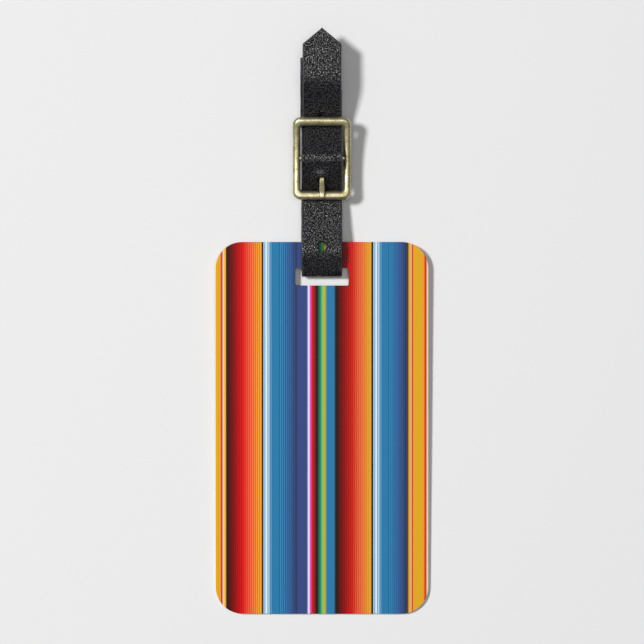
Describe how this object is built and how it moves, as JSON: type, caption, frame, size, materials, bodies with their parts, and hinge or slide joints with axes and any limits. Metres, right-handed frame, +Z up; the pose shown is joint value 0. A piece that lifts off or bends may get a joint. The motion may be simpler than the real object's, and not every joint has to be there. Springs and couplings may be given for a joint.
{
  "type": "luggage tag",
  "caption": "Rectangular printed luggage tag plate hanging in its slot on a leather strap that closes in a loop with a small brass prong buckle.",
  "frame": {"origin": "on the table, under the middle of the whole length, with the tag lying face up", "axes": "+Y from the plate to the strap's point, +Z up out of the printed face, +X to the right seen from above"},
  "size_m": [0.0508, 0.1396, 0.0094],
  "materials": {
    "plate_aluminium": "sheared edge, satin",
    "front_coat": "gloss, printed with upright stripes",
    "back_coat": "gloss, printed with upright stripes",
    "strap_leather": "black pebbled grain",
    "buckle_brass": "antique, brushed",
    "pin_brass": "antique, plain",
    "prong_brass": "antique, polished by wear",
    "rivet_brass": "antique, domed"
  },
  "bodies": {
    "strap": {"strap_loop": "strap_leather", "strap_front": "strap_leather", "rivet_post": "rivet_brass", "rivet_cap": "rivet_brass"},
    "strap_lower": {"strap_bend": "strap_leather"},
    "strap_end": {"strap_tip": "strap_leather"},
    "buckle": {"buckle_frame": "buckle_brass", "centre_bar": "pin_brass"},
    "prong": {"prong": "prong_brass"},
    "tag": {"tag_core": "plate_aluminium", "front_print": "front_coat", "back_print": "back_coat"}
  },
  "joints": [
    {"name": "strap_flex", "type": "hinge", "parent": "strap", "child": "strap_lower", "pos_m": [0, 0.02427, 0.00231], "axis": [1, 0, 0], "range_deg": [-30, 30]},
    {"name": "tag_swing", "type": "hinge", "parent": "strap_lower", "child": "tag", "pos_m": [0, 0.01307, 0.0023], "axis": [1, 0, 0], "range_deg": [-2.5, 15]},
    {"name": "tip_flex", "type": "hinge", "parent": "strap", "child": "strap_end", "pos_m": [0, 0.05232, 0.00664], "axis": [1, 0, 0], "range_deg": [0, 45]},
    {"name": "buckle_rock", "type": "hinge", "parent": "strap", "child": "buckle", "pos_m": [0, 0.03902, 0.005], "axis": [1, 0, 0], "range_deg": [-1.5, 1.5]},
    {"name": "prong_pivot", "type": "hinge", "parent": "buckle", "child": "prong", "pos_m": [0, 0.03902, 0.005], "axis": [-1, 0, 0], "range_deg": [0, 4]}
  ]
}
